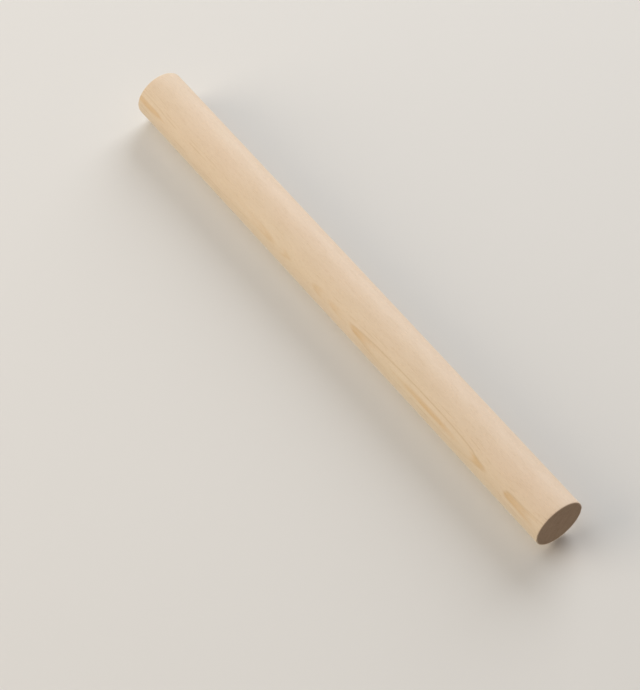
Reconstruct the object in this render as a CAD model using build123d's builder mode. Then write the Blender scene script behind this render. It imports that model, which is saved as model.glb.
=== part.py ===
from build123d import *
import os

# A plain round hardwood dowel: one stick, machined to a true round and sawn square at both
# ends. It stands on one end. The origin is the centre of the lower end face, and +Z runs up
# the rod, along its grain.

# Driving dimensions, in millimetres.
DIAMETER = 25.4     # across the rod
LENGTH = 304.8      # from the lower end face to the upper one
EASED_EDGE = 0.3    # radius of the light sanding round each sawn end

with BuildPart() as dowel:
    with BuildSketch(Plane.XY):
        Circle(DIAMETER / 2)
    extrude(amount=LENGTH)
    # The only circular edges are the rims of the two end faces.
    fillet(dowel.edges().filter_by(GeomType.CIRCLE), radius=EASED_EDGE)

dowel.part.label = "dowel"

os.makedirs("parts", exist_ok=True)
export_step(dowel.part, "parts/dowel.step")
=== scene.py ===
import math

import bpy
import numpy as np
from mathutils import Matrix, Vector


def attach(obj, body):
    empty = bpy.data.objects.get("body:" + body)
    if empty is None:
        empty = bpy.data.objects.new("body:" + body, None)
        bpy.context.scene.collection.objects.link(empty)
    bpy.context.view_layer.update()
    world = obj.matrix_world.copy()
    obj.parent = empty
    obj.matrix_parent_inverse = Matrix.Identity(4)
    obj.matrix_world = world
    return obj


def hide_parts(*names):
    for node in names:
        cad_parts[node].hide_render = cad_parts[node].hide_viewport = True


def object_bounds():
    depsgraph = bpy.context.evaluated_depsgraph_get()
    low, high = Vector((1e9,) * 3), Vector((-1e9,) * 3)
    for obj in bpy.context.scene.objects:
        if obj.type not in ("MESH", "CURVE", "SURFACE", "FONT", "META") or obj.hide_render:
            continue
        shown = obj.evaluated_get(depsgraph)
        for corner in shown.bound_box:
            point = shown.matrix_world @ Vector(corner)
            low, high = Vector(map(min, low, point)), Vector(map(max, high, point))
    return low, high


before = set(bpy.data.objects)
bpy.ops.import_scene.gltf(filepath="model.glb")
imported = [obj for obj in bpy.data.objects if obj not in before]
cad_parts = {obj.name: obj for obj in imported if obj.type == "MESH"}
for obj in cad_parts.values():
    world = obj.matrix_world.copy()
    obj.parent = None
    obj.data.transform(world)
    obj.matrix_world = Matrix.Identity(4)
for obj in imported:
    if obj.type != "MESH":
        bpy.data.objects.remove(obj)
CAD_LOW, CAD_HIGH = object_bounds()

MM = 0.001  # metres

# The rod, as the frame gives it. The CAD mesh is faceted, so its narrower side is what the round
# visual rod has to fit inside.
LENGTH = CAD_HIGH.z - CAD_LOW.z
RADIUS = min(CAD_HIGH.x - CAD_LOW.x, CAD_HIGH.y - CAD_LOW.y) / 2
MIDDLE = (CAD_LOW + CAD_HIGH) / 2


def around(azimuth, distance=1.0, height=0.0):
    """A point at that azimuth, in degrees, round the rod's axis. Azimuth 0 is -Y and 90 is +X."""
    angle = math.radians(azimuth)
    return Vector((distance * math.sin(angle), -distance * math.cos(angle), height))


def facing(direction):
    """The turn that points a thing's +Z that way."""
    return direction.to_track_quat("Z", "Y").to_matrix().to_4x4()


# --- camera -----------------------------------------------------------------------------------
# The photograph looks down on a rod that lies on a table. The same view of the standing rod has
# the camera below its lower end, rolled over, with the table behind the rod as a backdrop.
CAMERA_AZIMUTH = 22.2      # degrees
CAMERA_ELEVATION = -27.97  # the camera faces the lower end, 62 degrees off the rod's axis
CAMERA_DISTANCE = 94.07    # from the rod's middle, in rod radii
AIM_DROP = 0.70            # the picture's centre is this many radii below the rod's middle
AIM_ASIDE = 1.94           # and this many radii to the side of its axis
CAMERA_ROLL = -42.25       # degrees
LENS = 135.2               # mm, on the standard 36 mm sensor


def add_camera():
    elevation = math.radians(CAMERA_ELEVATION)
    reach = CAMERA_DISTANCE * RADIUS
    place = MIDDLE + around(CAMERA_AZIMUTH, distance=reach * math.cos(elevation))
    place.z += reach * math.sin(elevation)
    aim = MIDDLE - around(CAMERA_AZIMUTH + 90, distance=AIM_ASIDE * RADIUS)
    aim.z -= AIM_DROP * RADIUS
    upright = (aim - place).to_track_quat("-Z", "Y").to_matrix().to_4x4()
    roll = Matrix.Rotation(math.radians(CAMERA_ROLL), 4, "Z")
    camera = bpy.data.objects.new("camera", bpy.data.cameras.new("camera"))
    camera.data.lens = LENS
    camera.matrix_world = Matrix.Translation(place) @ upright @ roll
    bpy.context.scene.collection.objects.link(camera)
    bpy.context.scene.camera = camera


# --- the rod's surface ------------------------------------------------------------------------
# Lengths here are in millimetres. All relief goes inwards, so the rod never leaves the CAD's box.
COLUMNS = 240              # round the rod
SIDE_ROWS = 180            # along it, between its rims
RIM_ROWS = 6               # round each eased rim
END_RINGS = 30             # from a rim to the middle of its end
END_ROWS = END_RINGS + RIM_ROWS
RIM_EASING = 0.40          # mean radius of the sanded rim
RIM_UNEVEN = 0.10          # how far that radius varies
OUT_OF_ROUND = 0.05        # deepest low place along the side
RIM_FADE = 8               # how soon the rims' own roundness gives way to the side's
SAW_PITCH = 1.15           # between the saw's marks across an end
SAW_DEPTH = 0.035
SAW_MARKS = 0.35           # the marks' share of that depth; the rest is the cut's own drift
SAW_BEND = 2.5             # how far the drift bends the marks, in radians
LOW_SAW_HEADING = 25       # degrees: the way the cut ran across the lower end
HIGH_SAW_HEADING = -70     # and across the upper one
SEED = 11

# Ripples, by how often each wave repeats in each of its phases: turns round the rod, and radians
# per millimetre along it or across an end.
DRIFT_WAVES = ((0.31, 0.07), (0.17, -0.11), (0.05, 0.23))
EASING_WAVES = ((3,), (5,), (11,), (17,))
RIM_WAVES = ((2,), (3,), (5,))
SIDE_WAVES = ((2, 0.031), (3, -0.022), (4, 0.047), (1, 0.013))

# Where the rod's skin lies on its map: the side above, and the two ends as discs below it.
MAP_SIDE_LEFT, MAP_SIDE_WIDTH = 0.004, 0.992
MAP_SIDE_FOOT, MAP_SIDE_HEIGHT = 0.25, 0.745
MAP_DISC_RADIUS = 0.112
MAP_LOW_DISC = (0.13, 0.12)
MAP_HIGH_DISC = (0.38, 0.12)

rng = np.random.default_rng(SEED)


def waves(turns, *phases):
    """A smooth seeded ripple from 0 to 1. Turns lists how often each wave repeats in each phase."""
    total = 0.0
    for repeats in turns:
        start = rng.uniform(0, 2 * np.pi)
        total = total + np.sin(sum(n * p for n, p in zip(repeats, phases)) + start)
    return 0.5 + 0.5 * total / len(turns)


def end_relief(x, y, heading):
    """How deep the saw went into an end at x, y. The heading is that of its cut, in degrees."""
    turn = math.radians(heading)
    across = x * math.cos(turn) + y * math.sin(turn)
    along = y * math.cos(turn) - x * math.sin(turn)
    drift = waves(DRIFT_WAVES, across, along)
    marks = 0.5 + 0.5 * np.sin(2 * np.pi * across / SAW_PITCH + SAW_BEND * drift)
    return SAW_DEPTH * (SAW_MARKS * marks + (1 - SAW_MARKS) * drift)


def end_profile(angle, radius, heading):
    """The radii and depths of an end's rings and of its rim, from the middle out, one row each."""
    easing = RIM_EASING + RIM_UNEVEN * (2 * waves(EASING_WAVES, angle) - 1)
    flat = radius - easing
    share = np.arange(1, END_RINGS + 1) / END_RINGS
    rings = share[:, None] * flat
    depth = end_relief(rings * np.sin(angle), -rings * np.cos(angle), heading)
    bend = np.linspace(0, np.pi / 2, RIM_ROWS + 1)[1:, None]
    rim_radii = flat + easing * np.sin(bend)
    rim_depths = depth[-1] * np.cos(bend) + easing * (1 - np.cos(bend))
    return np.concatenate([rings, rim_radii]), np.concatenate([depth, rim_depths])


def rod_points():
    """The rod's rows of points from the lower end's middle to the upper one's, in millimetres."""
    angle = 2 * np.pi * np.arange(COLUMNS) / COLUMNS
    full, length = RADIUS / MM, LENGTH / MM
    below = full - OUT_OF_ROUND * waves(RIM_WAVES, angle)
    above = full - OUT_OF_ROUND * waves(RIM_WAVES, angle)
    low_radii, low_depths = end_profile(angle, below, LOW_SAW_HEADING)
    high_radii, high_depths = end_profile(angle, above, HIGH_SAW_HEADING)
    share = np.arange(1, SIDE_ROWS)[:, None] / SIDE_ROWS
    start, stop = low_depths[-1], length - high_depths[-1]
    heights = start + share * (stop - start)
    hollow = waves(SIDE_WAVES, angle, heights)
    side = full - OUT_OF_ROUND * hollow * np.sin(np.pi * share)
    fade = (1 - share) ** RIM_FADE
    side = side * (1 - fade - fade[::-1]) + below * fade + above * fade[::-1]
    radii = np.concatenate([low_radii, side, high_radii[::-1]])
    heights = np.concatenate([low_depths, heights, length - high_depths[::-1]])
    return np.stack([radii * np.sin(angle), -radii * np.cos(angle), heights], -1)


def rod_faces(count):
    """The faces over that many rows of points, each with the row and column of its corners."""
    low_middle, high_middle = count * COLUMNS, count * COLUMNS + 1
    last = (count - 1) * COLUMNS
    faces, corners = [], []
    for row in range(count - 1):
        here, above = row * COLUMNS, (row + 1) * COLUMNS
        for column in range(COLUMNS):
            after = (column + 1) % COLUMNS
            faces.append((here + column, here + after, above + after, above + column))
            corners.append([(row, column), (row, column + 1), (row + 1, column + 1), (row + 1, column)])
    for column in range(COLUMNS):
        after = (column + 1) % COLUMNS
        faces.append((low_middle, after, column))
        corners.append([(-1, column), (0, column + 1), (0, column)])
        faces.append((high_middle, last + column, last + after))
        corners.append([(count, column), (count - 1, column), (count - 1, column + 1)])
    return faces, corners


def on_disc(centre, rank, column):
    """Where a corner of an end lies on the map. Its rank counts rows out from the end's middle."""
    reach = MAP_DISC_RADIUS * rank / END_ROWS
    turn = 2 * math.pi * column / COLUMNS
    return centre[0] + reach * math.sin(turn), centre[1] - reach * math.cos(turn)


def on_side(share, column):
    """Where a corner of the side lies on the map, that share of the way up the side."""
    across = MAP_SIDE_LEFT + MAP_SIDE_WIDTH * column / COLUMNS
    return across, MAP_SIDE_FOOT + MAP_SIDE_HEIGHT * share


def rod_map(corners, count):
    """The place on the map of every corner of every face over that many rows of points."""
    side_start, side_rows = END_ROWS - 1, count - 2 * END_ROWS + 1
    spots = []
    for face in corners:
        middle_row = sum(row for row, _ in face) / len(face)
        for row, column in face:
            if middle_row < side_start:
                spots.append(on_disc(MAP_LOW_DISC, row + 1, column))
            elif middle_row > count - END_ROWS:
                spots.append(on_disc(MAP_HIGH_DISC, count - row, column))
            else:
                spots.append(on_side((row - side_start) / side_rows, column))
    return np.array(spots, np.float32).ravel()


def add_rod():
    """The whole rod as one closed mesh, with a map on which its side and its two ends lie apart."""
    rows = rod_points()
    count = len(rows)
    middles = np.array([[0, 0, rows[0, :, 2].mean()], [0, 0, rows[-1, :, 2].mean()]])
    points = np.concatenate([rows.reshape(-1, 3), middles]) * MM
    faces, corners = rod_faces(count)

    mesh = bpy.data.meshes.new("dowel_wood")
    mesh.from_pydata(points.tolist(), [], faces)
    layer = mesh.uv_layers.new(name="OFBake")
    layer.uv.foreach_set("vector", rod_map(corners, count))
    mesh.polygons.foreach_set("use_smooth", [True] * len(mesh.polygons))
    mesh.validate()
    made = bpy.data.objects.new("dowel_wood", mesh)
    bpy.context.scene.collection.objects.link(made)
    return made


# --- nodes ------------------------------------------------------------------------------------
class Graph:
    """A material's or world's nodes. An input takes a number, a tuple or another node's output."""

    def __init__(self, owner):
        owner.use_nodes = True
        self.tree = owner.node_tree
        self.tree.nodes.clear()

    def node(self, kind, inputs, output=0, **settings):
        made = self.tree.nodes.new("ShaderNode" + kind)
        for name, value in settings.items():
            setattr(made, name, value)
        for key, value in inputs.items():
            if isinstance(value, bpy.types.NodeSocket):
                self.tree.links.new(value, made.inputs[key])
            else:
                made.inputs[key].default_value = value
        return made.outputs[output]

    def math(self, operation, *values):
        return self.node("Math", dict(enumerate(values)), operation=operation)

    def product(self, first, *others):
        for other in others:
            first = self.math("MULTIPLY", first, other)
        return first

    def dot(self, vector, direction):
        return self.node("VectorMath", {0: vector, 1: direction}, "Value", operation="DOT_PRODUCT")

    def stretched(self, vector, factors):
        return self.node("VectorMath", {0: vector, 1: factors}, operation="MULTIPLY")

    def length(self, vector):
        return self.node("VectorMath", {0: vector}, "Value", operation="LENGTH")

    def noise(self, vector, fineness, detail, roughness=0.5):
        """Smooth noise round 0.5. The fineness is in lumps per unit, along each of its axes."""
        spread = self.stretched(vector, fineness)
        inputs = {"Vector": spread, "Scale": 1.0, "Detail": detail, "Roughness": roughness}
        return self.node("TexNoise", inputs, "Fac")

    def cells(self, vector, fineness):
        """The distance to the nearest of scattered points. The fineness is in points per unit."""
        inputs = {"Vector": self.stretched(vector, fineness), "Scale": 1.0}
        return self.node("TexVoronoi", inputs, "Distance")

    def span(self, value, low, high, to_low=0.0, to_high=1.0, curve="LINEAR"):
        """Value from low..high to to_low..to_high, held at both ends."""
        inputs = {"Value": value, "From Min": low, "From Max": high}
        inputs.update({"To Min": to_low, "To Max": to_high})
        return self.node("MapRange", inputs, interpolation_type=curve)

    def band(self, value, start, full, fading, gone):
        """0 up to start, 1 from full to fading, and 0 again from gone."""
        rise = self.span(value, start, full, 0.0, 1.0, "SMOOTHSTEP")
        return self.product(rise, self.span(value, fading, gone, 1.0, 0.0, "SMOOTHSTEP"))

    def curve(self, value, points, low, high):
        """A smooth curve through points whose second numbers lie from low to high."""
        bend = self.tree.nodes.new("ShaderNodeFloatCurve")
        knots = bend.mapping.curves[0].points
        while len(knots) < len(points):
            knots.new(0, 0)
        for knot, (along, level) in zip(knots, points):
            knot.location = (along, (level - low) / (high - low))
        bend.mapping.update()
        self.tree.links.new(value, bend.inputs["Value"])
        return self.span(bend.outputs[0], 0, 1, low, high)

    def blend(self, factor, first, second, way="MIX"):
        """Two colours mixed. Sockets 6 and 7 are the Mix node's colours, and output 2 its colour."""
        inputs = {0: factor, 6: first, 7: second}
        return self.node("Mix", inputs, 2, data_type="RGBA", blend_type=way)

    def tinted(self, factor, colour, tint):
        return self.blend(factor, colour, tint, "MULTIPLY")

    def finish(self, shader, kind="OutputMaterial"):
        output = self.tree.nodes.new("ShaderNode" + kind)
        self.tree.links.new(shader, output.inputs["Surface"])


# --- wood -------------------------------------------------------------------------------------
# Lengths are in millimetres. The growth rings go round the tree's pith, outside the rod.
BARK_AZIMUTH = -17.8       # degrees: the side of the rod that faces the bark
PITH_DISTANCE = 60.0       # from the rod's axis
RING_WIDTH = 0.4
RING_SEED = 192.0          # picks which years' rings are strong

# How far the rings bow towards the bark, by height above the lower end in rod radii. Where this
# crosses a ring's edge, the ring shows on the bark side as the tip of a long oval.
BOW_LOW, BOW_HIGH = -1.0, 0.6
BOW = (
    (0.0, 0.46), (0.9, 0.26), (1.35, 0.21), (1.65, 0.18), (1.9, 0.10), (2.1, 0.0), (2.45, -0.04),
    (2.9, 0.02), (3.1, 0.07), (3.55, 0.17), (4.05, 0.35), (5.0, 0.46), (6.2, 0.50), (7.7, 0.46),
    (9.05, 0.35), (9.75, 0.25), (10.45, 0.12), (10.75, 0.03), (12.05, -0.38), (13.0, -0.78),
    (13.65, -0.93), (14.3, -0.78), (15.25, -0.38), (17.0, -0.10), (20.0, -0.03), (21.6, -0.08),
    (22.6, 0.0), (23.0, 0.10), (24.04, 0.11),
)
WANDER = (-0.03, 0.13)     # how far the rings stray from that bow, slowly
RAGGED = (-0.06, 0.06)     # and in short stretches

# Where a year's edge line and its stain begin, are full, fade and end, in ring widths.
EDGE_BAND = (0.0, 0.24, 0.26, 0.55)
STAIN_BAND = (0.0, 0.36, 0.40, 0.85)
CLEAR_YEAR = (0.0, 0.5)    # the year that draws the oval: the one within 0.5 of 0
STAINED_YEARS = (0.5, 0.6)   # the fully stained ones: those within 0.6 of 0.5, which are 0 and 1
OTHER_STAIN = 0.6          # how much stain the others have for the strength of their line

# Noises and scattered points: the fineness in lumps per millimetre, and then a noise's detail and
# roughness. These lie along the rod's own X, Y and Z.
WANDER_NOISE = ((0.16, 0.16, 0.022), 3.0)
RAGGED_NOISE = ((1.3, 1.3, 0.06), 3.0)
BREAK_NOISE = ((0.35, 0.35, 0.09), 2.0)
WEAR_NOISE = ((0.5, 0.5, 0.07), 2.0)
PATCH_NOISE = ((0.3, 0.3, 0.3), 2.0)
MOTTLE_NOISE = ((0.055, 0.055, 0.014), 2.0)
BLOTCH_NOISE = ((0.22, 0.22, 0.22), 3.0)
# And these in ring space: out from the pith, round it, and up the grain.
FIBRE_NOISE = ((3.4, 3.4, 0.1), 3.0, 0.6)
STRAND_NOISE = ((0.8, 0.8, 0.035), 3.0, 0.55)
FIGURE_NOISE = ((0.2, 0.2, 0.07), 2.0)
RAY_NOISE = ((0.3, 5.2, 0.85), 1.0)
PORE_POINTS = (4.2, 4.2, 0.24)

# Spans: between its first two values, a thing goes from the third to the fourth, or from 0 to 1.
YEAR_STRENGTH = (0, 1, 0.15, 0.9)             # of a year's line, by chance
END_YEAR_STRENGTH = (0.2, 0.9, 0.15, 1.0)     # and of it on the ends
# The clear year's line, by height as a share of the rod's, and by place round it in rod radii.
FADE_UPWARDS = (0.75, 0.92, 1.0, 0.12)
FADE_DOWNWARDS = (0.03, 0.08, 0.5, 1.0)
FADE_ROUND = (0.3, 0.5, 1.0, 0.0)
FAINTER_SIDE = (-0.22, -0.08, 0.35, 1.0)
# Every year's line and stain, by distance from the bark side in rod radii.
LINE_ASIDE = (0.06, 0.18, 0.3, 1.0)
STAIN_ASIDE = (0.06, 0.20, 1.0, 0.0)
# The rest, by the value of a noise, or by the distance to a pore.
BREAKS = (0.5, 0.64, 0.03, 0.9)
WEAR = (0.35, 0.6, 0.65, 1.1)
PATCHES = (0.35, 0.65, 0.3, 1.0)
MOTTLE = (0.25, 0.75, -0.5, 0.5)
BLOTCHES = (0.35, 0.7)
RAYS = (0.56, 0.68)
PORES = (0.12, 0.26, 1.0, 0.0)
USUAL = (0.3, 0.7)                            # where most of a noise's values lie

PALE_WOOD_AND_PAINTED_LIGHT = (0.731, 0.591, 0.467, 1)   # towards +X: the wood's own tone, pinker and paler there also as painted light on the lit side
WARM_WOOD_AND_PAINTED_BOUNCE = (0.690, 0.592, 0.449, 1)   # towards -X: the wood's own tone, yellower there also as painted warm bounce light
EDGE_TINT = (0.88, 0.84, 0.76, 1)      # what a ring's edge does to the wood's colour
STAIN_TINT = (0.935, 0.84, 0.69, 1)    # and the stain beside it
FIBRE_TINT = (0.93, 0.90, 0.86, 1)
PORE_TINT = (0.80, 0.70, 0.58, 1)
RAY_TINT = (1.05, 1.04, 1.02, 1)
END_WOOD = (0.53, 0.42, 0.31, 1)
END_RING_TINT = (0.78, 0.72, 0.64, 1)
END_RAY_TINT = (1.06, 1.06, 1.05, 1)
END_PORE_TINT = (0.55, 0.48, 0.42, 1)
END_BLOTCH_TINT = (0.90, 0.885, 0.87, 1)

# How much of the fibre's tint each coarseness of grain gives where it is darkest, and how much of
# their own tint the pores give on the side.
FIGURE_SHARE, STRAND_SHARE, FIBRE_SHARE = 0.34, 0.22, 0.43
PORE_SHARE = 0.55

PORE_RELIEF, FIBRE_RELIEF, EDGE_RELIEF = -0.018, 0.02, -0.006
ROUGHNESS = (0.56, 0.66)               # by the fibre
EDGE_ROUGHER, END_ROUGHER = 0.05, 0.3
SPECULAR = 0.3

# Where the sawn look of an end stops: this deep below its face, and this far in from its rim.
SAWN_DEPTH = (0.08, 0.14)
# The pale band this leaves inside each rim is partly a painted rim highlight.
SAWN_BORDER = (0.02, 0.3)
SAWN_RAGGED = (-0.1, 0.1)              # how far the fibre shifts that border


def tree_rings(g, place, height, radial):
    """Each year's number, how far through it a point lies, and how strong its mark is by chance."""
    share = g.math("DIVIDE", height, LENGTH / MM)
    levels = [(level * RADIUS / LENGTH, value) for level, value in BOW]
    bowed = g.curve(share, levels, BOW_LOW, BOW_HIGH)
    wander = g.span(g.noise(place, *WANDER_NOISE), 0, 1, *WANDER)
    ragged = g.span(g.noise(place, *RAGGED_NOISE), 0, 1, *RAGGED)
    depth = g.math("SUBTRACT", radial, PITH_DISTANCE + RADIUS / MM)
    shifts = g.math("ADD", bowed, g.math("ADD", wander, ragged))
    rings = g.math("DIVIDE", g.math("ADD", depth, shifts), RING_WIDTH)
    year = g.math("FLOOR", rings)
    draw = {"W": g.math("ADD", year, RING_SEED)}
    chance = g.node("TexWhiteNoise", draw, "Value", noise_dimensions="1D")
    return year, g.math("FRACT", rings), chance


def ring_marks(g, place, height, radial, sideways):
    """How strong the lines and the stain are on the side, and the lines on the ends.

    On the bark side the surface cuts the rings at a slant, where the stain shows broad. Further
    round it cuts them square, and they show as lines, here and there. One year's line is clearer
    than the others, most of all away from the ends.
    """
    year, phase, chance = tree_rings(g, place, height, radial)
    edge = g.band(phase, *EDGE_BAND)
    stain = g.band(phase, *STAIN_BAND)
    strength = g.span(chance, *YEAR_STRENGTH)

    share = g.math("DIVIDE", height, LENGTH / MM)
    turned = g.math("DIVIDE", sideways, RADIUS / MM)
    aside = g.math("ABSOLUTE", turned)
    inland = g.product(g.span(share, *FADE_UPWARDS), g.span(share, *FADE_DOWNWARDS))
    near_bark = g.product(g.span(aside, *FADE_ROUND), g.span(turned, *FAINTER_SIDE))
    clear = g.product(g.math("COMPARE", year, *CLEAR_YEAR), near_bark, inland)
    broken = g.span(g.noise(place, *BREAK_NOISE), *BREAKS)
    shown = g.math("MAXIMUM", g.product(strength, broken), clear)
    side_edge = g.product(edge, g.span(aside, *LINE_ASIDE), shown)

    slant = g.span(aside, *STAIN_ASIDE, "SMOOTHSTEP")
    full = g.math("COMPARE", year, *STAINED_YEARS)
    stained = g.math("MAXIMUM", full, g.product(strength, OTHER_STAIN))
    worn = g.span(g.noise(place, *WEAR_NOISE), *WEAR)
    side_stain = g.product(stain, worn, stained, slant)

    patchy = g.span(g.noise(place, *PATCH_NOISE), *PATCHES)
    end_line = g.product(edge, patchy, g.span(chance, *END_YEAR_STRENGTH))
    return side_edge, side_stain, end_line


def side_colour(g, place, ring_space, fibre, pore, ray, edge, stain):
    strands = g.noise(ring_space, *STRAND_NOISE)
    figure = g.noise(ring_space, *FIGURE_NOISE)
    mottle = g.span(g.noise(place, *MOTTLE_NOISE), *MOTTLE)
    # The wood's tone runs from -X to +X. It is partly real variation and partly painted light: pinker
    # and paler on the lit +X side, yellower on the -X side as with warm bounce light. The mottle varies
    # it at random.
    across = g.dot(place, (MM / RADIUS, 0, 0))
    paleness_and_painted_light = g.math("ADD", across, mottle)
    colour = g.blend(g.span(paleness_and_painted_light, -1, 1), WARM_WOOD_AND_PAINTED_BOUNCE, PALE_WOOD_AND_PAINTED_LIGHT)
    colour = g.tinted(edge, colour, EDGE_TINT)
    colour = g.tinted(stain, colour, STAIN_TINT)
    colour = g.tinted(g.span(figure, *USUAL, 0.0, FIGURE_SHARE), colour, FIBRE_TINT)
    colour = g.tinted(g.span(strands, *USUAL, 0.0, STRAND_SHARE), colour, FIBRE_TINT)
    colour = g.tinted(g.span(fibre, *USUAL, 0.0, FIBRE_SHARE), colour, FIBRE_TINT)
    colour = g.tinted(g.product(pore, PORE_SHARE), colour, PORE_TINT)
    return g.tinted(ray, colour, RAY_TINT)


def end_colour(g, place, pore, ray, line):
    blotch = g.span(g.noise(place, *BLOTCH_NOISE), *BLOTCHES)
    colour = g.tinted(blotch, END_WOOD, END_BLOTCH_TINT)
    colour = g.tinted(line, colour, END_RING_TINT)
    colour = g.tinted(ray, colour, END_RAY_TINT)
    return g.tinted(pore, colour, END_PORE_TINT)


def sawn_part(g, place, height, fibre):
    """1 on the sawn faces and 0 on the side, on the sanded rims and on a thin band just inside them,
    which are as pale as the side: paler sanded wood, and partly a painted rim highlight.
    """
    from_end = g.math("MINIMUM", height, g.math("SUBTRACT", LENGTH / MM, height))
    from_axis = g.length(g.stretched(place, (1, 1, 0)))
    from_rim = g.math("SUBTRACT", RADIUS / MM - RIM_EASING, from_axis)
    ragged = g.math("ADD", from_rim, g.span(fibre, 0, 1, *SAWN_RAGGED))
    return g.product(g.span(from_end, *SAWN_DEPTH, 1.0, 0.0), g.span(ragged, *SAWN_BORDER))


def wood():
    material = bpy.data.materials.new("wood")
    g = Graph(material)
    place = g.stretched(g.node("TexCoord", {}, "Object"), (1 / MM, 1 / MM, 1 / MM))
    height = g.dot(place, (0, 0, 1))

    # Ring space: out from the pith, round it, and up the grain.
    outward = g.math("ADD", g.dot(place, tuple(around(BARK_AZIMUTH))), PITH_DISTANCE)
    sideways = g.dot(place, tuple(around(BARK_AZIMUTH + 90)))
    radial = g.length(g.node("CombineXYZ", {"X": outward, "Y": sideways}))
    angular = g.product(g.math("ARCTAN2", sideways, outward), PITH_DISTANCE)
    ring_space = g.node("CombineXYZ", {"X": radial, "Y": angular, "Z": height})

    # Fibre, pores and rays are each drawn out along their own direction in the tree.
    fibre = g.noise(ring_space, *FIBRE_NOISE)
    pore = g.span(g.cells(ring_space, PORE_POINTS), *PORES)
    ray = g.span(g.noise(ring_space, *RAY_NOISE), *RAYS)
    side_edge, side_stain, end_line = ring_marks(g, place, height, radial, sideways)

    side = side_colour(g, place, ring_space, fibre, pore, ray, side_edge, side_stain)
    end = end_colour(g, place, pore, ray, end_line)
    is_end = sawn_part(g, place, height, fibre)
    colour = g.blend(is_end, side, end)

    rougher = g.math("ADD", g.product(side_edge, EDGE_ROUGHER), g.product(is_end, END_ROUGHER))
    roughness = g.math("ADD", g.span(fibre, *USUAL, *ROUGHNESS), rougher)

    grooves_and_ribs = g.math("ADD", g.product(pore, PORE_RELIEF), g.product(fibre, FIBRE_RELIEF))
    relief = g.math("ADD", grooves_and_ribs, g.product(side_edge, EDGE_RELIEF))
    bump = g.node("Bump", {"Height": relief, "Strength": 1.0, "Distance": MM})

    g.finish(g.node("BsdfPrincipled", {
        "Base Color": colour,
        "Roughness": roughness,
        "Specular IOR Level": SPECULAR,
        "Normal": bump,
    }))
    return material


# --- stage ------------------------------------------------------------------------------------
WALL_AZIMUTH = 45.0        # degrees: where the backdrop faces
WALL_GAP = 0.3 * MM        # between the backdrop and the rod
STAGE_REACH = 5.0          # metres, from the rod to the edges of the floor and backdrop
WALL_COLOUR = (0.70, 0.70, 0.70, 1)
FLOOR_COLOUR = (0.42, 0.42, 0.42, 1)
FAR_FLOOR_COLOUR = (0.64, 0.64, 0.64, 1)   # paler, where the lamps' light runs out
FLOOR_NEAR, FLOOR_FAR = 1.8, 2.6           # metres from the rod, where it turns paler


def stage_paper(name, colour, far_colour):
    """Matt paper that shows from its front only, so that it never hides the rod from behind."""
    material = bpy.data.materials.new(name)
    g = Graph(material)
    away = g.length(g.node("TexCoord", {}, "Object"))
    shade = g.blend(g.span(away, FLOOR_NEAR, FLOOR_FAR), colour, far_colour)
    paper = g.node("BsdfDiffuse", {"Color": shade})
    clear = g.node("BsdfTransparent", {})
    behind = g.node("NewGeometry", {}, "Backfacing")
    g.finish(g.node("MixShader", {0: behind, 1: paper, 2: clear}))
    return material


def add_sheet(name, middle, normal, colour, far_colour):
    """A square of stage paper. It catches the rod's shadow, and sends no light back to the rod."""
    mesh = bpy.data.meshes.new(name)
    r = STAGE_REACH
    mesh.from_pydata([(-r, -r, 0), (r, -r, 0), (r, r, 0), (-r, r, 0)], [], [(0, 1, 2, 3)])
    mesh.materials.append(stage_paper(name, colour, far_colour))
    sheet = bpy.data.objects.new(name, mesh)
    sheet.matrix_world = Matrix.Translation(middle) @ facing(normal)
    sheet.visible_shadow = False
    sheet.visible_diffuse = False
    sheet.visible_glossy = False
    sheet.visible_transmission = False
    bpy.context.scene.collection.objects.link(sheet)


def add_stage():
    front = around(WALL_AZIMUTH)
    behind = MIDDLE - front * (RADIUS + WALL_GAP)
    add_sheet("backdrop", behind, front, WALL_COLOUR, WALL_COLOUR)
    foot = Vector((MIDDLE.x, MIDDLE.y, CAD_LOW.z))
    add_sheet("floor", foot, Vector((0, 0, 1)), FLOOR_COLOUR, FAR_FLOOR_COLOUR)


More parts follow.
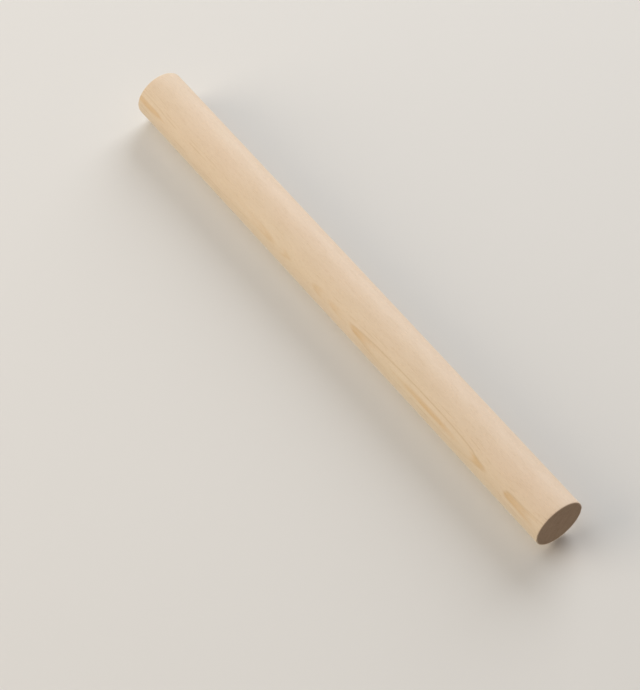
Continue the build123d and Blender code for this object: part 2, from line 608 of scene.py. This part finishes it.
# --- light ------------------------------------------------------------------------------------
# Each soft box is a disc that faces the rod's middle. Its level is the colour that a white
# surface facing it there would render as.
LIGHT_DISTANCE = 2.4       # metres
SOFT_BOXES = (
    # name, azimuth, elevation, diameter, level, colour
    ("key", 105, 25, 2.0, 0.80, (1.0, 1.0, 1.0)),
    ("fill", -20, 28, 2.0, 0.66, (1.0, 0.84, 0.66)),
    ("front", 30, 30, 2.0, 0.22, (0.90, 0.96, 1.0)),
    ("back", 218, 28, 2.0, 0.65, (1.0, 1.0, 1.0)),
)
UNMIRRORED = "back"                      # the one that gloss does not show
LIGHT_ABOVE = (0.42, 0.41, 0.37, 1)
LIGHT_BELOW = (0.25, 0.185, 0.152, 1)    # dimmer and browner, as off a table
LIGHT_BELOW_AT, LIGHT_ABOVE_AT = -1, 0.3   # by the upward part of the direction it comes from
PALE_SURROUND = (0.8, 0.8, 0.8, 1)


def add_lights():
    for name, azimuth, elevation, diameter, level, colour in SOFT_BOXES:
        data = bpy.data.lights.new(name, "AREA")
        data.shape = "DISK"
        data.size = diameter
        data.color = colour
        data.energy = level * (math.pi * LIGHT_DISTANCE) ** 2
        lamp = bpy.data.objects.new(name, data)
        rise = math.radians(elevation)
        place = around(azimuth, LIGHT_DISTANCE * math.cos(rise), LIGHT_DISTANCE * math.sin(rise))
        lamp.matrix_world = Matrix.Translation(MIDDLE + place) @ facing(place)
        lamp.visible_glossy = name != UNMIRRORED
        bpy.context.scene.collection.objects.link(lamp)


def add_world():
    """Soft light from all round, dimmer from below, which shows as an even pale surround."""
    world = bpy.data.worlds.new("surround")
    g = Graph(world)
    upward = g.node("SeparateXYZ", {0: g.node("TexCoord", {}, "Generated")}, "Z")
    rise = g.span(upward, LIGHT_BELOW_AT, LIGHT_ABOVE_AT)
    light = g.node("Background", {"Color": g.blend(rise, LIGHT_BELOW, LIGHT_ABOVE)})
    surround = g.node("Background", {"Color": PALE_SURROUND})
    glossy = g.node("LightPath", {}, "Is Glossy Ray")
    through = g.node("LightPath", {}, "Is Transmission Ray")
    direct = g.node("LightPath", {}, "Is Camera Ray")
    seen = g.math("MAXIMUM", direct, g.math("MAXIMUM", glossy, through))
    g.finish(g.node("MixShader", {0: seen, 1: light, 2: surround}), "OutputWorld")
    bpy.context.scene.world = world


# --- the scene --------------------------------------------------------------------------------
add_camera()
rod = add_rod()
rod.data.materials.append(wood())
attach(rod, "root")
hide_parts("dowel")
add_stage()
add_lights()
add_world()
bpy.context.scene.view_settings.view_transform = "Standard"
